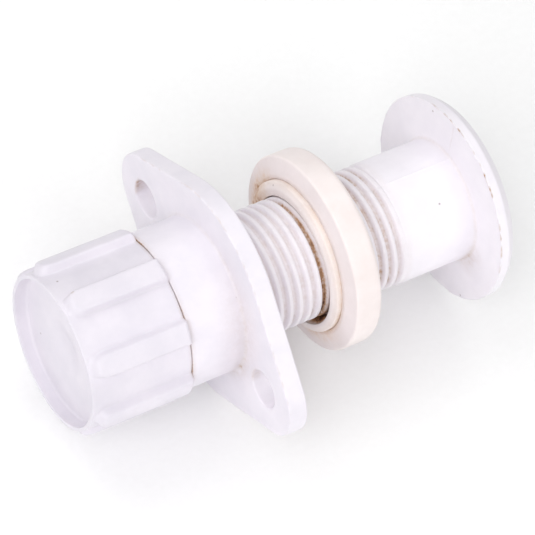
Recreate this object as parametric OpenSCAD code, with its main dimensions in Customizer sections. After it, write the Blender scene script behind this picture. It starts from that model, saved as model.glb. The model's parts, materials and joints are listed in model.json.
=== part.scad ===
// Double-skin thru hull drain fitting, lying along X.
// The origin is the centre of the mushroom head's hull seat. +X points outboard, -X inboard to the cap.

/* [Thread] */
// Crest diameter of the barrel and neck threads (G 1/2)
thread_d = 20.955; // [20.5:0.005:22]
// Pitch of both threads (14 per inch)
thread_pitch = 1.814; // [1.5:0.001:2]
// Depth of the threads
thread_depth = 1.16; // [0.8:0.01:1.3]
// Radial clearance between a thread crest and the bore that runs on it
thread_gap = 0.05; // [0.02:0.01:0.1]

/* [Hull fitting] */
// Bore that the water runs through
bore_d = 14.5; // [10:0.5:15]
// Diameter of the mushroom head
head_d = 36; // [32:0.5:44]
// Height of the head from the hull seat to its crown
head_h = 4.8; // [4:0.1:7]
// Height of the head's square rim below the rounded edge
head_rim_h = 0.9; // [0.5:0.1:1.2]
// Radius of the head's rounded edge
head_edge_r = 2.6; // [2:0.1:3]
// Diameter of the smooth barrel below the head
smooth_d = 21.2; // [21:0.1:22]
// Length of the smooth barrel, from the hull seat to the thread
smooth_len = 13.1; // [8:0.1:16]
// Length of the barrel from the hull seat to its inboard end
barrel_len = 51.5; // [50:0.1:52]

/* [Lock nut] */
// Outer diameter of the round nut
nut_d = 34; // [30:0.5:38]
// Width of the nut at its outer surface
nut_w = 5; // [4:0.1:8]
// Distance from the hull seat to the nut's outboard face
nut_at = 22.2; // [18:0.1:26]
// Outer diameter of the seal ring in the nut
ring_d = 26.2; // [24.5:0.1:27]
// Bore of the seal ring
ring_bore_d = 21.8; // [21.4:0.1:23]
// Length of the seal ring
ring_len = 2.8; // [2:0.1:4]
// How far the seal ring stands out of the nut
ring_proud = 1.35; // [0.8:0.05:2]

/* [Deck flange] */
// Distance from the hull seat to the flange's seating face
flange_at = 42.4; // [38:0.1:46]
// Thickness of the flange plate
flange_t = 3.3; // [2.5:0.1:5]
// Width of the flange plate across its round middle
flange_w = 39; // [36:0.5:44]
// Length of the flange plate over its two tips
flange_len = 55.4; // [52:0.2:62]
// Radius of the flange plate's tips
tip_r = 7.1; // [6:0.1:9]
// Distance between the two screw holes
screw_spacing = 39; // [36:0.5:44]
// Diameter of the screw holes
screw_d = 6.5; // [4:0.5:7]
// Outer diameter of the boss
boss_d = 26.6; // [25:0.1:29]
// Length of the boss, from the plate to the cap's mouth
boss_len = 9.8; // [8:0.1:14]
// Length of the threaded neck under the cap
neck_len = 12.9; // [10:0.1:14]
// Thickness of the seal ring between the barrel and the flange
barrel_seal_t = 1.5; // [1:0.1:2]

/* [Drain cap] */
// Outer diameter of the cap between its ribs
cap_d = 26.4; // [25:0.1:28]
// Outer diameter of the cap over its ribs
rib_d = 29.4; // [28:0.1:32]
// Width of a grip rib
rib_w = 4.1; // [3:0.1:5]
// Number of grip ribs
rib_count = 8; // [6:1:10]
// Length of the cap
cap_len = 17.8; // [17:0.1:20]
// Depth of the recess in the cap's end
recess_depth = 2.2; // [1:0.1:2.4]
// Thickness of the seal washer in the cap
cap_seal_t = 1.6; // [1:0.1:2]

/* [Hidden] */

smooth_fn = 96;          // facets of a round edge in a preview
arc_steps = 6;           // chords in a rounded corner
thread_r = thread_d / 2;
root_r = thread_r - thread_depth;
mating_r = thread_r + thread_gap;
bore_r = bore_d / 2;
head_r = head_d / 2;
smooth_r = smooth_d / 2;
fillet = 1.2;            // fillet between a barrel or boss and its plate
edge_r = 0.8;            // rounding of the nut's outer edges
nut_face_rise = 0.5;     // how far the nut's inboard face rises from its rim to the ring
ring_fit = 0.05;         // radial clearance of the seal ring in the nut
seal_edge = 0.6;         // rounding of the seal ring's inboard edges
washer_fit = 0.3;        // radial clearance around the flat seals
lead_in = 0.6;           // bevel at a thread's start and depth of the drain mouth's bevel
overlap = 0.5;           // how far two joined shapes run into each other
cap_gap = 0.1;           // gap between the boss and the cap's mouth
tip_at = flange_len / 2 - tip_r;
socket_floor = barrel_len + barrel_seal_t;
boss_end = flange_at + flange_t + boss_len;
neck_end = boss_end + neck_len;
cap_mouth = boss_end + cap_gap;
cap_end = cap_mouth + cap_len;
cap_roof = neck_end + cap_seal_t;
rib_fade_from = 3;       // where the ribs start to fall away, before the cap's end
rib_fade_to = 1.6;       // where the ribs meet the cap's wall, before the cap's end
recess_r = 12.5;         // radius of the recess at its mouth
recess_draft = 0.3;      // how much narrower the recess's floor is
crown_r = 12.45;         // radius of the head's flatter crown, inside its rounded edge
crown_drop = 0.35;       // how far the crown falls from the drain mouth to that radius
crown_lip = 1.2;         // flat lip around the drain mouth
mouth_bevel = 1.6;       // bevel at the drain mouth, measured along the radius

// Points along an arc of radius r about c, from angle a to angle b
function arc(c, r, a, b) = [
    for (i = [0 : arc_steps]) c + r * [cos(a + (b - a) * i / arc_steps), sin(a + (b - a) * i / arc_steps)]
];

// A closed profile of [radius, distance inboard of the hull seat], turned about the X axis
module turned(points) {
    rotate([0, -90, 0]) rotate_extrude($fn = smooth_fn) polygon(points);
}

// A bore of radius r, from a to b inboard of the hull seat
module drilled(r, a, b) {
    rotate([0, -90, 0]) translate([0, 0, a]) cylinder(h = b - a, r = r, $fn = smooth_fn);
}

// A threaded core from a to b, its grooves as closed rings one pitch apart
module threaded(a, b) {
    crest = thread_pitch / 6;
    turns = floor((b - a - crest) / thread_pitch);
    groove = [for (i = [0 : turns - 1]) each [
        [thread_r, a + i * thread_pitch + crest],
        [root_r, a + (i + 0.5) * thread_pitch],
        [root_r, a + (i + 0.5) * thread_pitch + crest],
        [thread_r, a + (i + 1) * thread_pitch],
    ]];
    turned(concat(
        [[0, a], [thread_r, a]], groove,
        [[thread_r, b - lead_in], [thread_r - lead_in, b], [0, b]]
    ));
}

// Mushroom head and threaded barrel, moulded in one
module hull_fitting() {
    color("white") difference() {
        union() {
            turned(concat(
                [[0, 0], [head_r, 0], [head_r, -head_rim_h]],
                arc([head_r - head_edge_r, -head_rim_h], head_edge_r, 0, -60),
                [[crown_r, -head_h + crown_drop], [bore_r + crown_lip, -head_h], [0, -head_h]]
            ));
            turned(concat(
                [[0, -overlap], [smooth_r + fillet, -overlap], [smooth_r + fillet, 0]],
                arc([smooth_r + fillet, fillet], fillet, -90, -180),
                [[smooth_r, smooth_len - overlap], [thread_r, smooth_len], [0, smooth_len]]
            ));
            threaded(smooth_len, barrel_len);
        }
        drilled(bore_r, -head_h - 1, barrel_len + 1);
        turned([
            [0, -head_h - 1], [bore_r + mouth_bevel, -head_h - 1],
            [bore_r, -head_h + lead_in], [0, -head_h + lead_in],
        ]);
    }
}

// Soft ring that stands out of the nut's inboard face, clear of the thread
module nut_seal() {
    inner = ring_bore_d / 2;
    outer = ring_d / 2;
    a = nut_at + nut_w + nut_face_rise + ring_proud - ring_len;
    b = a + ring_len;
    color("wheat") turned(concat(
        [[inner, a], [outer, a]],
        arc([outer - seal_edge, b - seal_edge], seal_edge, 0, 90),
        arc([inner + seal_edge, b - seal_edge], seal_edge, 90, 180)
    ));
}

// Round nut, counterbored on its inboard face for the seal ring
module lock_nut() {
    outer = nut_d / 2;
    rim = nut_at + nut_w;
    pocket = rim + nut_face_rise + ring_proud - ring_len;
    pocket_r = ring_d / 2 + ring_fit;
    color("antiquewhite") difference() {
        turned(concat(
            [[0, nut_at]],
            arc([outer - edge_r, nut_at + edge_r], edge_r, -90, 0),
            arc([outer - edge_r, rim - edge_r], edge_r, 0, 90),
            [[pocket_r, rim + nut_face_rise], [0, rim + nut_face_rise]]
        ));
        drilled(mating_r, nut_at - 1, rim + 2);
        drilled(pocket_r, pocket, rim + 2);
    }
}

// Flat ring that the barrel's end closes on
module barrel_seal() {
    color("dimgray") difference() {
        drilled(mating_r - washer_fit, barrel_len, socket_floor);
        drilled(bore_r, barrel_len - 1, socket_floor + 1);
    }
}

// The flange plate's outline: a round middle drawn out by straight flanks to two round tips
module flange_outline() {
    mid_r = flange_w / 2;
    flank = asin((mid_r - tip_r) / tip_at);
    circle(r = mid_r, $fn = smooth_fn);
    for (side = [-1, 1]) {
        translate([0, side * tip_at]) circle(r = tip_r, $fn = smooth_fn);
        polygon([
            mid_r * [-cos(flank), side * sin(flank)],
            mid_r * [cos(flank), side * sin(flank)],
            [tip_r * cos(flank), side * (tip_at + tip_r * sin(flank))],
            [-tip_r * cos(flank), side * (tip_at + tip_r * sin(flank))],
        ]);
    }
}

// Oval flange with its boss, the socket for the barrel and the threaded neck for the cap
module deck_flange() {
    plate = flange_at + flange_t;
    boss_r = boss_d / 2;
    color("white") difference() {
        union() {
            rotate([0, -90, 0]) translate([0, 0, flange_at]) linear_extrude(flange_t) flange_outline();
            turned(concat(
                [[0, flange_at], [boss_r + fillet, flange_at], [boss_r + fillet, plate]],
                arc([boss_r + fillet, plate + fillet], fillet, -90, -180),
                [[boss_r, boss_end], [0, boss_end]]
            ));
            threaded(boss_end, neck_end);
        }
        drilled(mating_r, flange_at - 1, socket_floor);
        drilled(bore_r, socket_floor - 1, neck_end + 1);
        for (side = [-1, 1]) {
            translate([0, side * screw_spacing / 2, 0]) drilled(screw_d / 2, flange_at - 1, plate + 1);
        }
    }
}

// Flat washer that the neck's end closes on
module cap_seal() {
    color("dimgray") difference() {
        drilled(mating_r - washer_fit, neck_end, cap_roof);
        drilled(bore_r, neck_end - 1, cap_roof + 1);
    }
}

// Closed screw cap with straight grip ribs and a recessed end
module drain_cap() {
    rib_r = rib_d / 2;
    cap_r = cap_d / 2;
    floor_at = cap_end - recess_depth;
    color("white") difference() {
        intersection() {
            turned([
                [0, cap_mouth], [rib_r, cap_mouth], [rib_r, cap_end - rib_fade_from],
                [cap_r, cap_end - rib_fade_to], [cap_r, cap_end], [0, cap_end],
            ]);
            union() {
                drilled(cap_r, cap_mouth, cap_end);
                rotate([0, -90, 0]) for (i = [0 : rib_count - 1]) {
                    rotate([0, 0, i * 360 / rib_count]) translate([0, -rib_w / 2, cap_mouth])
                        cube([rib_r, rib_w, cap_len]);
                }
            }
        }
        drilled(mating_r, cap_mouth - 1, cap_roof);
        turned([
            [0, floor_at], [recess_r - recess_draft, floor_at],
            [recess_r, cap_end], [recess_r, cap_end + 1], [0, cap_end + 1],
        ]);
    }
}

hull_fitting();
nut_seal();
lock_nut();
barrel_seal();
deck_flange();
cap_seal();
drain_cap();
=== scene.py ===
import json
import math

import bmesh
import bpy
from mathutils import Matrix, Vector, noise


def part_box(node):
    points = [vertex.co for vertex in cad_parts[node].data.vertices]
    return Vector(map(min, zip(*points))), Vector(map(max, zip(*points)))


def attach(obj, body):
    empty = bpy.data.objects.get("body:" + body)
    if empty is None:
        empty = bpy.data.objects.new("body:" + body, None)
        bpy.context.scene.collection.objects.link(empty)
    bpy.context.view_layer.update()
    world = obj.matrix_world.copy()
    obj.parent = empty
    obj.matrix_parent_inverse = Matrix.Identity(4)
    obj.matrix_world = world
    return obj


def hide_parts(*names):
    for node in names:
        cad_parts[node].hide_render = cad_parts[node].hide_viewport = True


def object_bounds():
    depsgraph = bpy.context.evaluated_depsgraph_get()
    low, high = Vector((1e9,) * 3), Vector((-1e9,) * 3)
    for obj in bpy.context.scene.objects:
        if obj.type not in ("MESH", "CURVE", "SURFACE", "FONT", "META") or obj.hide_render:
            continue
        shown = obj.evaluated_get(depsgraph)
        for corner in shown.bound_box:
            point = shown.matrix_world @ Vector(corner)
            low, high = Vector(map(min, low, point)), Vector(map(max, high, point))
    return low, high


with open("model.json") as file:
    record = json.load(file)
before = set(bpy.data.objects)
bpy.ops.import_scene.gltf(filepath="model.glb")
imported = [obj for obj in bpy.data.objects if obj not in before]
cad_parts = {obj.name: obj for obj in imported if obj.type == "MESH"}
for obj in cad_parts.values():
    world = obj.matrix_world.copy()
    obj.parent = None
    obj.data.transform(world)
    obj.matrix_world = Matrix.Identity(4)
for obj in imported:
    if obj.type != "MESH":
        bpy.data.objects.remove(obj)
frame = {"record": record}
cad_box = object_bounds()

# A thru hull fitting. Each piece is a turned outline that varies with the angle, and its grime and painted
# shade are set by formula on its points.
# Sizes are in millimetres, and x falls from the head (outboard) to the cap (inboard).
MM = 0.001
TAU = math.tau


def reach(node):
    """(inboard x, outboard x, radius) of a CAD node in mm."""
    low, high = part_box(node)
    return low.x / MM, high.x / MM, high.z / MM


BARREL_END, CROWN, HEAD_R = reach("hull_fitting")
NUT_IN, NUT_OUT, NUT_R = reach("lock_nut")
RING_IN, RING_OUT, RING_R = reach("nut_seal")
SEAL_IN, SEAL_OUT, SEAL_R = reach("barrel_seal")
NECK_END, SEAT, PLATE_R = reach("deck_flange")
WASHER_IN, WASHER_OUT, WASHER_R = reach("cap_seal")
CAP_END, CAP_MOUTH, RIB_R = reach("drain_cap")
TIP_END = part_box("deck_flange")[1].y / MM
MOUNTS = {mount["name"]: mount for mount in frame["record"]["mounts"]}
BORE_R = MOUNTS["drain_bore"]["dims"]["r_mm"]
HOLE_R = MOUNTS["deck_screws"]["dims"]["hole_r_mm"]
HOLE_AT = MOUNTS["deck_screws"]["dims"]["spacing_x_mm"] / 2

# The thread is G 1/2, right-handed. Every thread lies on the same helix, so they mesh with each other.
PITCH = 1.814
CREST_R = 10.4775
DEPTH = 0.85
CREST_TO = 0.17         # from the middle of a crest to its edge, as a share of the pitch
ROOT_FROM = 0.37        # from the middle of a crest to the root
THREAD_GAP = 0.05
THREAD_ROWS = 12        # rows of points to a pitch

SMOOTH_R = 10.6
SMOOTH_END = -13.1      # where the thread begins
HEAD_ROOT_R = 12.4      # the head's flat underside begins here
POCKET_R = RING_R + 0.05
RING_BORE_R = 10.8
BOSS_R = 13.3
BOSS_END = -55.5
PLATE_IN = SEAT - 3.3
PLATE_ROOT_R = 14.5     # the plate's flat faces begin here
TIP_R = 7.1
CAP_R = 13.2
CAP_RECESS = 2.2
CAP_DISH = 0.9
RIBS = 8
RIB_AT_R = 13.6         # widths across a rib are measured at this radius

# Angles that place seams and stains are in degrees from +Y to +Z. The camera looks from 115 degrees, so the
# outlines of the round parts are at 25 and 205.
SEAM = 84               # mould seam along the barrel
CREASE = 80             # radial crease in the head's underside
LIP_WORN = 212          # where the ring's lip is worn widest
GAP_LOW = 205           # the low side of the gap between ring and thread

ROUND = [TAU * i / 192 for i in range(193)]
AIM = Vector((-0.03365, 0.0, 0.0))      # the middle of the picture, in metres


# ---------------------------------------------------------------- mesh helpers

def ease(value, low, high):
    """0 at low, 1 at high, smooth between them and flat outside them."""
    t = min(max((value - low) / (high - low), 0), 1)
    return t * t * (3 - 2 * t)


def rounded(*corners, steps=5):
    """A line through corners (x, radius, rounding). A rounded corner is an arc of this many steps."""
    line = []
    for k, (x, r, rounding) in enumerate(corners):
        here = Vector((x, r))
        if not rounding:
            line.append(here)
            continue
        before = (Vector(corners[k - 1][:2]) - here).normalized()
        after = (Vector(corners[(k + 1) % len(corners)][:2]) - here).normalized()
        half = before.angle(after) / 2
        centre = here + (before + after).normalized() * (rounding / math.sin(half))
        start = here + before * (rounding / math.tan(half)) - centre
        end = here + after * (rounding / math.tan(half)) - centre
        turn = start.angle(end)
        side = math.copysign(1, start.x * end.y - start.y * end.x)
        for i in range(steps + 1):
            a = side * turn * i / steps
            x_turned = start.x * math.cos(a) - start.y * math.sin(a)
            r_turned = start.x * math.sin(a) + start.y * math.cos(a)
            line.append(centre + Vector((x_turned, r_turned)))
    return line


def helix(low, high, angle, surface):
    """Thread points from x = low to x = high at one angle, where surface(x, depth) is the radius.

    depth is the groove's there: 0 on a crest and DEPTH at the root.
    """
    lead = PITCH * angle / TAU
    first = math.floor(low / PITCH) - 1
    turns = math.ceil(high / PITCH) - first
    points = []
    for i in range(turns * THREAD_ROWS + 1):
        x = min(max(PITCH * (first + i / THREAD_ROWS) + lead, low), high)
        phase = (x - lead) / PITCH
        depth = DEPTH * ease(abs(phase - round(phase)), CREST_TO, ROOT_FROM)
        points.append(Vector((x, surface(x, depth))))
    return points


def finely(loops, step=0.8):
    """The same outlines, with more points along every side that is longer than step at any angle."""
    sides = range(len(loops[0]))
    shares = []
    for j in sides:
        longest = max((loop[(j + 1) % len(loop)] - loop[j]).length for loop in loops)
        parts = max(math.ceil(longest / step), 1)
        shares += [(j, i / parts) for i in range(parts)]
    return [[loop[j].lerp(loop[(j + 1) % len(loop)], share) for j, share in shares] for loop in loops]


def turned(name, section, angles=ROUND):
    """A closed solid swept about the X axis. section(angle) is its outline there, as points (x, radius)."""
    loops = finely([section(angle) for angle in angles])
    count = len(loops[0])
    points = [
        Vector((x, r * math.cos(angle), r * math.sin(angle))) * MM
        for angle, loop in zip(angles, loops) for x, r in loop
    ]
    faces = [
        (i * count + j, i * count + (j + 1) % count, (i + 1) * count + (j + 1) % count, (i + 1) * count + j)
        for i in range(len(angles) - 1) for j in range(count)
    ]
    return built(name, points, faces)


def built(name, points, faces):
    """An object of welded, outward-facing, smooth-shaded faces."""
    mesh = bpy.data.meshes.new(name)
    mesh.from_pydata(points, [], faces)
    work = bmesh.new()
    work.from_mesh(mesh)
    bmesh.ops.remove_doubles(work, verts=work.verts, dist=0.002 * MM)
    bmesh.ops.delete(work, geom=[edge for edge in work.edges if edge.is_wire], context="EDGES")
    bmesh.ops.recalc_face_normals(work, faces=work.faces)
    for face in work.faces:
        face.smooth = True
    work.to_mesh(mesh)
    work.free()
    piece = bpy.data.objects.new(name, mesh)
    bpy.context.scene.collection.objects.link(piece)
    return piece


def wander(x, angle, r, size, amount):
    """A small smooth unevenness of a moulded surface, in mm."""
    place = Vector((x, r * math.cos(angle), r * math.sin(angle)))
    return amount * noise.noise(place / size)


def bump(angle, at, width):
    """1 at the angle called at, falling to 0 at width either side of it, all in radians."""
    return max(1 - abs(math.remainder(angle - at, TAU)) / width, 0)


def outside_thread(x, depth, tip, root, run_out):
    """Radius of an outside thread: tapered at its tip, and its grooves end over run_out at its root."""
    groove = depth * (1 - ease(x, root - run_out, root - 0.1))
    lead_in = 0.6 * (1 - ease(x, tip, tip + 0.9))
    return CREST_R - max(groove, lead_in)


def inside_thread(x, depth, mouth, flare):
    """Radius of an inside thread that widens by flare at its mouth."""
    return CREST_R + THREAD_GAP - depth + flare * ease(x, mouth - 0.9, mouth)


# ---------------------------------------------------------------- pieces

def hull_fitting():
    """Mushroom head and threaded barrel, moulded in one, with its mould seam, rim flash and a crease."""
    seam = math.radians(SEAM)
    far_seam = seam + TAU / 2
    crease = math.radians(CREASE)
    steps = [math.radians(step) for step in (-1, -0.5, 0.5, 1)]
    beside = [at + step for at in (seam, far_seam, crease) for step in steps]
    angles = sorted(ROUND + [seam, far_seam] + beside)

    def section(angle):
        ridge = 0.07 * max(bump(angle, seam, 0.015), bump(angle, far_seam, 0.015))
        barrel_r = SMOOTH_R + ridge
        cut = 0.09 * bump(angle, crease, 0.016)
        flash = wander(0, angle, HEAD_R, 1.3, 1.5) + wander(3, angle, HEAD_R, 0.5, 0.8)
        ragged = min(max(flash, 0), 1)

        def surface(x, depth):
            return outside_thread(x, depth, BARREL_END, SMOOTH_END, 0.8) - ridge

        head = rounded(
            (CROWN - 0.45, BORE_R, 0), (CROWN, BORE_R + 1.2, 0.3), (CROWN - 0.02, BORE_R + 2.1, 0.5),
            (CROWN - 0.4, 12.6, 2), (4.05, 14.5, 1.5), (3.1, 16.8, 1.5), (1.6, HEAD_R - 0.05, 1.0),
            (0.25, HEAD_R - 0.05, 0), (0.05, HEAD_R - 0.04 * (1 - ragged), 0),
        )
        lip = [
            (-0.15 * ragged, HEAD_R - 0.03), (-0.18 * ragged, HEAD_R - 0.16), (-0.03 * ragged, HEAD_R - 0.3),
            (0, HEAD_R - 0.45), (cut, 16.9), (cut, 15.3), (cut, 13.7), (cut * 0.8, HEAD_ROOT_R),
        ]
        barrel = rounded((0, HEAD_ROOT_R, 0), (0, barrel_r, 0.6), (-6, barrel_r, 0))[1:]
        barrel.append(Vector((SMOOTH_END + 0.3, barrel_r)))
        thread = helix(BARREL_END, SMOOTH_END, angle, surface)[::-1]
        end = rounded((BARREL_END, BORE_R + 0.4, 0), (BARREL_END + 0.4, BORE_R, 0))
        return head + [Vector(point) for point in lip] + barrel + thread + end

    return turned("hull_fitting_body", section, angles)


def lock_nut():
    """Round nut with a pocket for its ring, and the thread that runs on the barrel."""
    def surface(x, depth):
        return inside_thread(x, depth, NUT_OUT, 0.8)

    def section(angle):
        outer = NUT_R - 0.03 + wander(0, angle, NUT_R, 6, 0.05)
        shell = rounded(
            (NUT_OUT, CREST_R + 2.2, 0), (NUT_OUT, outer, 1.0), (NUT_IN + 0.55, outer, 0.5),
            (NUT_IN + 0.45, outer - 1.2, 0), (NUT_IN + 0.25, 14.8, 0), (NUT_IN, POCKET_R + 0.1, 0),
            (NUT_IN + 0.12, POCKET_R, 0), (RING_OUT, POCKET_R, 0),
        )
        return helix(RING_OUT, NUT_OUT, angle, surface) + shell

    return turned("lock_nut_body", section)


def nut_seal():
    """Ring that stands out of the nut's inboard face, with a soft inner lip that is worn off centre."""
    def section(angle):
        lip = 11.08 + 0.48 * math.cos(angle - math.radians(LIP_WORN))
        return rounded(
            (RING_OUT, RING_BORE_R, 0), (RING_OUT, RING_R, 0), (RING_IN + 0.5, RING_R, 0.3),
            (RING_IN, 12.0, 1.2), (RING_IN + 0.1, lip + 0.1, 0.12), (RING_IN + 0.5, lip, 0),
            (RING_IN + 1.3, RING_BORE_R, 0),
        )

    return turned("nut_seal_ring", section)


def flat_seal(name, low, high, outer):
    """Flat rubber ring with rounded edges."""
    edge = 0.35
    outline = rounded((low, BORE_R, edge), (low, outer, edge), (high, outer, edge), (high, BORE_R, edge))
    return turned(name, lambda angle: outline)


def plate_edge(angle):
    """Radius of the flange plate's outline: a round middle drawn out by straight flanks to two round tips."""
    centre = TIP_END - TIP_R
    flank = math.acos((PLATE_R - TIP_R) / centre)
    tip_joint = math.atan2(TIP_R * math.sin(flank), centre + TIP_R * math.cos(flank))
    a = math.acos(min(abs(math.cos(angle)), 1))
    if a >= flank:
        return PLATE_R
    if a >= tip_joint:
        return PLATE_R / math.cos(flank - a)
    return centre * math.cos(a) + math.sqrt(TIP_R ** 2 - (centre * math.sin(a)) ** 2)


def deck_flange():
    """Oval two-hole flange with its boss, socket and threaded neck."""
    socket_floor = SEAL_IN
    mean_edge_r = 22
    boss_foot_r = BOSS_R + 1.6

    def socket(x, depth):
        return inside_thread(x, depth, SEAT, 0.9)

    def neck(x, depth):
        return outside_thread(x, depth, NECK_END, BOSS_END, 1.0)

    def section(angle):
        edge = plate_edge(angle) - 0.02 + wander(7, angle, mean_edge_r, 2.5, 0.02)
        nick = max(wander(0, angle, mean_edge_r, 0.8, 0.25) - 0.06, 0)
        plate = [Vector((SEAT, PLATE_ROOT_R + (edge - PLATE_ROOT_R) * share)) for share in (0, 0.35, 0.7)]
        plate += rounded(
            (SEAT, edge - 1, 0), (SEAT, edge, 0.35), (PLATE_IN, edge - 0.06, 0.3 + nick),
            (PLATE_IN, PLATE_ROOT_R, 0),
        )[1:-1]
        plate += [
            Vector((PLATE_IN, boss_foot_r + (edge - boss_foot_r) * share)) for share in (0.8, 0.6, 0.4, 0.2)
        ]
        boss = rounded(
            (PLATE_IN, BOSS_R + 1.3, 0), (PLATE_IN, BOSS_R, 0.6), (BOSS_END, BOSS_R, 0.15),
            (BOSS_END, CREST_R + 0.4, 0),
        )
        outer = helix(NECK_END, BOSS_END, angle, neck)[::-1]
        bore = rounded(
            (NECK_END, BORE_R + 0.4, 0), (NECK_END + 0.4, BORE_R, 0), (socket_floor, BORE_R, 0),
            (socket_floor, CREST_R - 1.0, 0),
        )
        return helix(socket_floor, SEAT, angle, socket) + plate + boss + outer + bore

    body = turned("deck_flange_body", section)
    for side in (-1, 1):
        drill(body, side * HOLE_AT)
    return body


def drill(body, y):
    """Cuts one screw hole, with a small rounding at both of its mouths, through the flange plate."""
    flare = 0.35
    arc = [TAU / 4 * i / 4 for i in range(5)]
    line = [(PLATE_IN - 1, HOLE_R + flare)]
    line += [(PLATE_IN + flare * (1 - math.cos(a)), HOLE_R + flare * (1 - math.sin(a))) for a in arc]
    line += [(PLATE_IN + SEAT - x, r) for x, r in line[::-1]]
    steps = 48
    points = [
        Vector((x, y + r * math.cos(TAU * i / steps), r * math.sin(TAU * i / steps))) * MM
        for x, r in line for i in range(steps)
    ]
    faces = [
        (j * steps + i, j * steps + (i + 1) % steps, (j + 1) * steps + (i + 1) % steps, (j + 1) * steps + i)
        for j in range(len(line) - 1) for i in range(steps)
    ]
    faces += [tuple(range(steps)), tuple(range((len(line) - 1) * steps, len(line) * steps))]
    cutter = built("cutter", points, faces)
    cut = body.modifiers.new("screw hole", "BOOLEAN")
    cut.operation = "DIFFERENCE"
    cut.solver = "EXACT"
    cut.object = cutter
    bpy.context.view_layer.update()
    mesh = bpy.data.meshes.new_from_object(body.evaluated_get(bpy.context.evaluated_depsgraph_get()))
    body.modifiers.clear()
    body.data = mesh
    bpy.data.objects.remove(cutter)


def rib_height(lateral, x):
    """How far a rib stands, 0 to 1, this far from its middle line. Its end is rounded and slopes gently."""
    half_width = 2.0
    corner = 1.3
    end = CAP_END + 1.05
    stretch = 1.9
    across = max(lateral - (half_width - corner), 0)
    along = max((end - x) / stretch + corner, 0)
    return 1 - ease(math.hypot(across, along) - corner, -0.3, 0.3)


def drain_cap():
    """Closed screw cap with eight soft-ended grip ribs and a dished end."""
    rib_sector = TAU / RIBS
    # Distances from a rib's middle line, closest together on its steep flank.
    sides = [0, 0.7, 1.2, 1.45, 1.65, 1.8, 1.92, 2.02, 2.14, 2.3, 2.6, 3.3, 4.2]
    offsets = [math.atan2(side, RIB_AT_R) for side in sides]
    angles = []
    for k in range(RIBS):
        middle = rib_sector * k
        angles += [middle - offset for offset in offsets[:0:-1]]
        angles += [middle + offset for offset in offsets]
        angles.append(middle + rib_sector / 2)
    angles.append(angles[0] + TAU)
    wall_rows = [CAP_MOUTH - 1.0 - i * 1.5 for i in range(8)]
    wall_rows += [CAP_END + 5.0 - 0.3 * i for i in range(16)]
    rib_rise = RIB_R - CAP_R
    recess = CAP_END + CAP_RECESS
    dish_rows = [8, 7] + [6 - 0.8 * i for i in range(8)]

    def thread(x, depth):
        return inside_thread(x, depth, CAP_MOUTH, 0.7)

    def section(angle):
        nearest = round(angle / rib_sector) * rib_sector
        lateral = RIB_AT_R * math.tan(abs(angle - nearest))

        def skin(x):
            crown = 0.06 * (lateral / 2) ** 2
            rise = (rib_rise - crown) * rib_height(lateral, x)
            draft = 0.02 * (CAP_MOUTH - x) / 10
            return CAP_R + rise - draft

        edge = skin(CAP_MOUTH)
        soft = 0.12 + 0.55 * rib_height(lateral, CAP_MOUTH - 4)
        outer = [
            Vector((CAP_MOUTH, edge - soft)), Vector((CAP_MOUTH - soft * 0.3, edge - soft * 0.3)),
            Vector((CAP_MOUTH - soft, edge)),
        ]
        outer += [Vector((x, skin(x))) for x in wall_rows]
        lip = rounded(
            (CAP_END + 0.45, CAP_R - 0.03, 0), (CAP_END, CAP_R - 0.03, 0.07), (CAP_END, 12.5, 0.07),
            (recess, 12.3, 0.55), (recess, 9, 0),
        )
        dish = [Vector((recess + CAP_DISH * (1 - ease(r, 1.2, 5.6)), r)) for r in dish_rows]
        dish.append(Vector((recess + CAP_DISH, 0)))
        inside = [Vector((WASHER_IN, r)) for r in (0, 5, CREST_R - 1.0)]
        return outer + lip + dish + inside + helix(WASHER_IN, CAP_MOUTH, angle, thread)

    return turned("drain_cap_body", section, angles)


# ---------------------------------------------------------------- grime and painted shade, set on the points of each mesh

def paint(piece, dirt_and_shade):
    """Stores how much grime and painted shade each point takes, 0 to 1.

    dirt(x, r, angle, blot) takes mm, mm, degrees and a blotchy noise of about 0 to 1.
    """
    layer = piece.data.attributes.new("dirt_and_shade", "FLOAT", "POINT")
    for point, value in zip(piece.data.vertices, layer.data):
        x, y, z = point.co / MM
        angle = math.degrees(math.atan2(z, y)) % 360
        blot = 0.5 + 0.5 * noise.fractal(Vector((x, y, z)) / 1.7, 0.6, 2, 4)
        value.value = min(max(dirt_and_shade(x, math.hypot(y, z), angle, blot), 0), 1)


def near(value, at, width):
    """1 at a place, fading smoothly to 0 this far from it."""
    return 1 - ease(abs(value - at), 0, width)


def turn_near(angle, at, width):
    """As near, for angles in degrees."""
    return near(math.remainder(angle - at, 360), 0, width)


def gap_grime(angle, blot):
    """The brown line in the gap between boss and cap: broken, and thickest at two places."""
    thick = max(turn_near(angle, 50, 30), turn_near(angle, 178, 25), 0.6 * turn_near(angle, 130, 30))
    return 0.2 + 0.34 * thick * (0.6 + 0.8 * blot)


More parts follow.
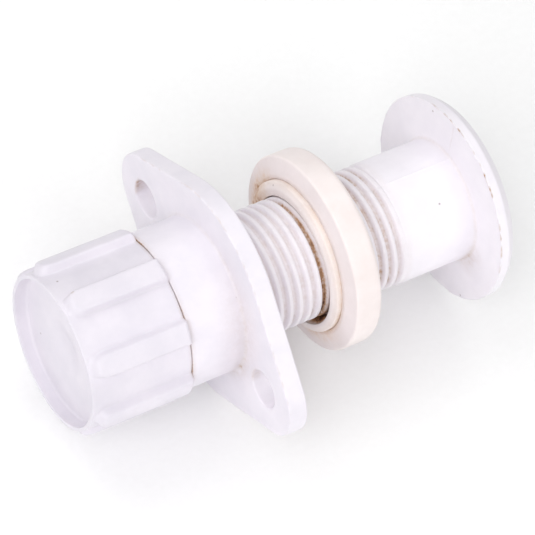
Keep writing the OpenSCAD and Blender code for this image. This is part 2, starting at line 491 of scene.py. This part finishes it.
def thread_dirt_and_shade(x, r, angle, blot):
    """A film in the grooves and the bore, heavier by the nut, a thin skin, grime that nut and ring trap, and
    painted shade on the thread inside the ring's gap.
    """
    if not BARREL_END < x < SMOOTH_END + 0.4:
        return 0
    groove = ease(CREST_R - r, 0.2, 0.75) if x < SMOOTH_END else 0
    outboard = near(x, NUT_OUT, 9.5) ** 0.5 if x > NUT_OUT else 0
    inboard = near(x, RING_IN, 2.0) if x < RING_IN else 0
    sides = 0.16 + 0.35 * turn_near(angle, 35, 45) + 0.15 * turn_near(angle, 190, 40)
    film = 0.14 + outboard * sides + 0.2 * inboard
    dirt_and_shade = groove * film * (0.6 + 0.8 * blot)
    if r < BORE_R + 0.5:
        return dirt_and_shade
    dirt_and_shade += 0.05
    # By the ring: grime in the grooves, and painted shade with grime on the thread inside the ring's gap,
    # darkest on the gap's low side.
    if RING_IN - 2 < x < NUT_OUT + 1:
        in_groove = groove ** 2 * (0.28 + 0.2 * turn_near(angle, 185, 90))
        dirt_and_shade += near(x, RING_IN + 0.7, 1.6) * (0.17 + in_groove)
        dirt_and_shade += 0.4 * turn_near(angle, GAP_LOW, 50) * ease(x, RING_IN - 0.1, RING_IN + 0.5)
        dirt_and_shade += 0.22 * near(x, NUT_OUT - 0.2, 0.9)
    return dirt_and_shade


def hull_dirt_and_shade(x, r, angle, blot):
    """The thread's grime and painted shade, a dark line and low-side blotches in the corner under the head,
    and grime along its worn rim and in the crease.
    """
    corner = 0.16 * near(r, SMOOTH_R + 0.1, 0.5) * near(x, 0, 0.8)
    low_corner = 0.35 * near(r, SMOOTH_R, 4) * near(x, 0, 2) * turn_near(angle, 195, 30) * blot
    at_rim = near(r, HEAD_R - 0.12, 0.3) * near(x, 0, 0.25)
    rim = 0.75 * at_rim * ease(blot, 0.5, 0.66) * turn_near(angle, 110, 100)
    crease = 0.2 * near(x, 0.09, 0.09) * turn_near(angle, CREASE, 1.5) if r > 11.5 else 0
    return thread_dirt_and_shade(x, r, angle, blot) + corner + low_corner + rim + crease


def ring_line(angle):
    """The thin dirty line between the nut and its ring, heavier on the low side."""
    return 0.06 + 0.15 * turn_near(angle, 190, 65)


def nut_dirt_and_shade(x, r, angle, blot):
    """Stains on the inboard face, spread outward from the ring, grime in the thread, and a faint painted
    shade on the outer side.
    """
    face = near(x, NUT_IN, 0.9)
    line = near(r, RING_R, 0.35) * ring_line(angle)
    stain = 0.75 * turn_near(angle, 350, 50) * (1 - ease(r, 12.4, 18))
    drip = 0.24 * turn_near(angle, 225, 45) * (1 - ease(r, 13.2, 17.4))
    bore = 0.3 if r < CREST_R + 0.6 else 0
    # Painted shade: a faint darkening of the nut's outer side.
    side = 0.02 * ease(r, 16.3, 16.9)
    return face * (line + (stain + drip) * (0.4 + blot)) + bore + side


def ring_dirt_and_shade(x, r, angle, blot):
    """Grime where the ring meets the nut and deep in its bore, a darkening towards its outer edge, painted
    shade with grime on the wall of its lip, and a stain.
    """
    outer = near(x, NUT_IN, 0.35) * near(r, RING_R, 0.2) * ring_line(angle)
    fade = 0.06 * near(r, RING_R, 1.1)
    low_side = 0.25 * turn_near(angle, GAP_LOW, 50)
    # Painted shade with grime: the lip's inner wall is darkened, most on the gap's low side.
    wall = (0.22 + low_side) * (1 - ease(r, 11.4, 11.7)) * ease(x, RING_IN + 0.05, RING_IN + 0.4)
    deep = 0.5 * ease(x, RING_IN + 0.5, RING_IN + 1.2) if r < 11.4 else 0
    stain = 0.45 * turn_near(angle, 355, 45)
    return (outer + fade + wall + stain) * (0.5 + blot) + deep


def flange_dirt_and_shade(x, r, angle, blot):
    """Grime at the cap's gap, a dark line round the boss's foot, painted shade on the boss and plate near the
    foot, darker blotches low on the foot, wear along the plate's edge, and painted shade in a crescent at
    each screw hole.
    """
    gap = near(x, BOSS_END, 0.25) * ease(r, BOSS_R - 1.5, BOSS_R - 0.3) * gap_grime(angle, blot)
    corner = 0.12 * near(x, PLATE_IN, 0.6) * near(r, BOSS_R, 0.8) * (0.4 + 1.2 * blot)
    # Painted shade: a broad gradient over the boss and plate near the foot, heaviest at 155 degrees.
    shade = 0.12 * near(x, PLATE_IN, 6.5) * near(r, BOSS_R, 6) * turn_near(angle, 155, 80)
    low = 0.3 * near(x, PLATE_IN, 2.0) * near(r, BOSS_R, 2.5) * turn_near(angle, 195, 28) * blot
    y, z = r * math.cos(math.radians(angle)), r * math.sin(math.radians(angle))
    edge = near(x, PLATE_IN + 0.1, 0.25) * near(r, plate_edge(math.radians(angle)), 0.4)
    worn = 0.3 * edge * ease(blot, 0.42, 0.7)
    # Painted shade: a dark crescent on the +Y side of each screw hole's mouth.
    from_hole = math.hypot(abs(y) - HOLE_AT, z)
    at_edge = near(from_hole, HOLE_R + 0.1, 0.4) * near(x, PLATE_IN + 0.3, 1.2)
    crescents = at_edge * (0.45 * near(y, HOLE_AT + HOLE_R, 0.9) + 0.25 * near(y, HOLE_R - HOLE_AT, 0.7))
    socket = 0.2 if r < CREST_R + 0.5 else 0
    return gap + corner + shade + low + worn + crescents + socket


def cap_dirt(x, r, angle, blot):
    """Dirt at the gap, one dark dot on a rib's end, and a little in the thread."""
    gap = near(x, CAP_MOUTH, 0.25) * ease(r, BOSS_R - 1.5, BOSS_R - 0.3) * gap_grime(angle, blot)
    dot = 0.7 * near(x, CAP_END + 2.4, 0.5) * turn_near(angle, 82.5, 2.2) if r > CAP_R else 0
    inside = 0.15 if r < CREST_R + 0.5 and x > WASHER_IN + 0.05 else 0
    return gap + dot + inside


# ---------------------------------------------------------------- materials

def add(tree, kind, inputs=None, **settings):
    """A new node. An input may be a value or another node's output."""
    made = tree.nodes.new(kind)
    for name, value in settings.items():
        setattr(made, name, value)
    for name, value in (inputs or {}).items():
        if isinstance(value, bpy.types.NodeSocket):
            tree.links.new(value, made.inputs[name])
        else:
            made.inputs[name].default_value = value
    return made


def ramp(tree, factor, stops):
    """A colour ramp through stops (place, colour)."""
    made = add(tree, "ShaderNodeValToRGB", {"Fac": factor})
    elements = made.color_ramp.elements
    while len(elements) < len(stops):
        elements.new(0.5)
    for element, (place, colour) in zip(elements, stops):
        element.position = place
        element.color = (*colour, 1)
    return made.outputs["Color"]


def mixed(tree, factor, first, second, blend="MIX"):
    """Second blended over first. Each, and factor, may be a value or another node's output."""
    made = add(tree, "ShaderNodeMix", data_type="RGBA", blend_type=blend)
    for name, value in (("Factor", factor), ("A", first), ("B", second)):
        socket = next(s for s in made.inputs if s.name == name and s.enabled)
        if isinstance(value, bpy.types.NodeSocket):
            tree.links.new(value, socket)
        else:
            socket.default_value = value if name == "Factor" else (*value, 1)
    return next(s for s in made.outputs if s.enabled)


def plastic(name, light, dark, grime_and_shade, speck_share=0.03, rough=(0.36, 0.5)):
    """Moulded plastic: mottled from light to dark, with specks, a fine skin texture and the grime and painted
    shade on its points.

    Noise scales are to the metre, and speck_share is the share of cells that hold a speck.
    """
    material = bpy.data.materials.new(name)
    material.use_nodes = True
    tree = material.node_tree
    place = add(tree, "ShaderNodeTexCoord").outputs["Object"]
    mottle = add(tree, "ShaderNodeTexNoise", {"Vector": place, "Scale": 150, "Detail": 5, "Roughness": 0.6})
    fine = add(tree, "ShaderNodeTexNoise", {"Vector": place, "Scale": 1400, "Detail": 4, "Roughness": 0.65})
    cells = add(tree, "ShaderNodeTexVoronoi", {"Vector": place, "Scale": 520, "Randomness": 1.0})
    base = ramp(tree, mottle.outputs["Fac"], [(0.35, dark), (0.65, light)])

    rare = add(tree, "ShaderNodeSeparateColor", {"Color": cells.outputs["Color"]})
    chosen = add(tree, "ShaderNodeMath", {0: rare.outputs[0], 1: speck_share}, operation="LESS_THAN")
    dot = add(tree, "ShaderNodeMapRange", {
        "Value": cells.outputs["Distance"], "From Min": 0.04, "From Max": 0.13, "To Min": 0.55, "To Max": 0.0,
    })
    speck = add(tree, "ShaderNodeMath", {0: chosen.outputs[0], 1: dot.outputs[0]}, operation="MULTIPLY")
    speckled = mixed(tree, speck.outputs[0], base, grime_and_shade[-1][1])

    # This attribute holds grime and painted shade together.
    dirt_and_shade = add(tree, "ShaderNodeAttribute", attribute_name="dirt_and_shade")
    patchy = add(tree, "ShaderNodeMapRange", {
        "Value": fine.outputs["Fac"], "From Min": 0.3, "From Max": 0.7, "To Min": 0.6, "To Max": 1.4,
    })
    film = add(
        tree, "ShaderNodeMath", {0: dirt_and_shade.outputs["Fac"], 1: patchy.outputs[0]}, operation="MULTIPLY",
    )
    stained_and_shaded = mixed(tree, 1.0, speckled, ramp(tree, film.outputs[0], grime_and_shade), "MULTIPLY")

    gloss = add(tree, "ShaderNodeMapRange", {
        "Value": mottle.outputs["Fac"], "From Min": 0.3, "From Max": 0.7,
        "To Min": rough[0], "To Max": rough[1],
    })
    skin = add(tree, "ShaderNodeBump", {
        "Height": fine.outputs["Fac"], "Strength": 0.5, "Distance": 0.03 * MM,
    })
    waves = add(tree, "ShaderNodeBump", {
        "Height": mottle.outputs["Fac"], "Strength": 0.6, "Distance": 0.12 * MM,
        "Normal": skin.outputs["Normal"],
    })
    principled = tree.nodes["Principled BSDF"]
    principled.inputs["IOR"].default_value = 1.49
    tree.links.new(stained_and_shaded, principled.inputs["Base Color"])
    tree.links.new(gloss.outputs[0], principled.inputs["Roughness"])
    tree.links.new(waves.outputs["Normal"], principled.inputs["Normal"])
    return material


# How grime and painted shade tint each plastic, from clean to darkest.
WHITE_GRIME_AND_SHADE = [
    (0.0, (1, 1, 1)), (0.3, (0.84, 0.78, 0.73)), (0.6, (0.55, 0.33, 0.17)), (1.0, (0.14, 0.045, 0.015)),
]
CREAM_GRIME_AND_SHADE = [
    (0.0, (1, 1, 1)), (0.3, (0.88, 0.75, 0.62)), (0.6, (0.6, 0.34, 0.16)), (1.0, (0.1, 0.03, 0.015)),
]
RUBBER_GRIME = [(0.0, (1, 1, 1)), (1.0, (0.6, 0.5, 0.42))]
flange_white = plastic("white_plastic", (0.86, 0.82, 0.88), (0.80, 0.765, 0.83), WHITE_GRIME_AND_SHADE)
cream = plastic("cream_plastic", (0.915, 0.84, 0.835), (0.86, 0.78, 0.77), CREAM_GRIME_AND_SHADE, 0.06)
seal_cream = plastic("cream_seal", (0.92, 0.85, 0.83), (0.86, 0.785, 0.76), CREAM_GRIME_AND_SHADE, 0.06, (0.45, 0.6))
# The hull's white is a lighter copy of the same plastic: painted light for the head's underside and the
# thread.
hull_white_painted_light = plastic("white_hull_plastic_painted_light", (0.90, 0.865, 0.915), (0.85, 0.815, 0.87), WHITE_GRIME_AND_SHADE)
# The cap's white is a darker copy of the same plastic: painted shade for the light falling off towards the
# cap.
cap_white_painted_shade = plastic("white_cap_plastic_painted_shade", (0.80, 0.76, 0.825), (0.74, 0.705, 0.775), WHITE_GRIME_AND_SHADE)
rubber = plastic("seal_rubber", (0.035, 0.034, 0.036), (0.022, 0.022, 0.024), RUBBER_GRIME, 0.05, (0.55, 0.7))


# ---------------------------------------------------------------- assembly

def dress(piece, node, material, dirt_and_shade):
    """Puts a piece in its CAD node's place, on the same body."""
    piece.data.materials.append(material)
    paint(piece, dirt_and_shade)
    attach(piece, node)
    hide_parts(node)


def dusty(x, r, angle, blot):
    """The hidden seals are only blotched."""
    return 0.3 * blot


dress(hull_fitting(), "hull_fitting", hull_white_painted_light, hull_dirt_and_shade)
dress(lock_nut(), "lock_nut", cream, nut_dirt_and_shade)
dress(nut_seal(), "nut_seal", seal_cream, ring_dirt_and_shade)
dress(flat_seal("barrel_seal_ring", SEAL_IN, SEAL_OUT, SEAL_R), "barrel_seal", rubber, dusty)
dress(deck_flange(), "deck_flange", flange_white, flange_dirt_and_shade)
dress(flat_seal("cap_seal_washer", WASHER_IN, WASHER_OUT, WASHER_R), "cap_seal", rubber, dusty)
dress(drain_cap(), "drain_cap", cap_white_painted_shade, cap_dirt)


# ---------------------------------------------------------------- studio

def soft_light(name, along, around, distance, size, power):
    """A round softbox that faces AIM, in metres and watts.

    along is its direction's share along X, and around is its angle about X in degrees from +Y to +Z.
    """
    light = bpy.data.lights.new(name, "AREA")
    light.shape = "DISK"
    light.size = size
    light.energy = power
    across = math.sqrt(1 - along ** 2)
    side = math.radians(around)
    toward = Vector((along, across * math.cos(side), across * math.sin(side)))
    lamp = bpy.data.objects.new(name, light)
    lamp.location = AIM + toward * distance
    lamp.rotation_euler = toward.to_track_quat("Z", "Y").to_euler()
    bpy.context.scene.collection.objects.link(lamp)


def paper():
    """Nearly white paper with a faint grain."""
    material = bpy.data.materials.new("floor_paper")
    material.use_nodes = True
    tree = material.node_tree
    place = add(tree, "ShaderNodeTexCoord").outputs["Object"]
    grain = add(tree, "ShaderNodeTexNoise", {"Vector": place, "Scale": 900, "Detail": 3})
    principled = tree.nodes["Principled BSDF"]
    principled.inputs["Roughness"].default_value = 0.8
    shade = ramp(tree, grain.outputs["Fac"], [(0.3, (0.96, 0.96, 0.96)), (0.7, (0.98, 0.98, 0.98))])
    tree.links.new(shade, principled.inputs["Base Color"])
    return material


def studio():
    """A pale world, a large key light over the camera, small fills about it, and a plain floor."""
    floor_reach = 3
    world = bpy.data.worlds.new("studio")
    world.use_nodes = True
    background = world.node_tree.nodes["Background"]
    background.inputs["Color"].default_value = (1, 1, 1, 1)
    background.inputs["Strength"].default_value = 0.38
    bpy.context.scene.world = world
    soft_light("key", -0.6, 118, 1.0, 0.7, 3.3)
    soft_light("head_side", 0.3, 118, 0.5, 0.25, 0.12)
    soft_light("left_fill", -0.7, 85, 0.35, 0.2, 0.07)
    soft_light("cap_side", -0.9, 108, 0.5, 0.3, 0.18)
    soft_light("thread_side", 0.0, 150, 0.3, 0.12, 0.06)
    soft_light("low_fill", -0.5, 165, 0.3, 0.15, 0.05)
    soft_light("behind_cap", -0.3, 60, 0.3, 0.25, 0.25)
    soft_light("behind_head", 0.35, 60, 0.3, 0.25, 0.14)
    soft_light("front_of_head", 0.35, 150, 0.3, 0.25, 0.19)
    signs = ((-1, -1), (1, -1), (1, 1), (-1, 1))
    corners = [Vector((x * floor_reach, y * floor_reach, cad_box[0].z)) for x, y in signs]
    floor = built("floor", corners, [(0, 1, 2, 3)])
    floor.data.materials.append(paper())


# ---------------------------------------------------------------- camera

def look():
    """The camera, from the cap's side and above, turned so that the head is at the upper right."""
    distance = 0.5189
    toward = Vector((-0.3960, -0.3881, 0.8322)).normalized()
    right = Vector((0.8525, -0.4922, 0.1761))
    right = (right - toward * right.dot(toward)).normalized()
    up = toward.cross(right)
    camera = bpy.data.objects.new("camera", bpy.data.cameras.new("camera"))
    camera.matrix_world = Matrix((right, up, toward)).transposed().to_4x4()
    camera.location = AIM + toward * distance
    camera.data.lens = 215.3
    camera.data.clip_end = 10
    bpy.context.scene.collection.objects.link(camera)
    bpy.context.scene.camera = camera


look()
studio()
bpy.context.scene.view_settings.view_transform = "Standard"
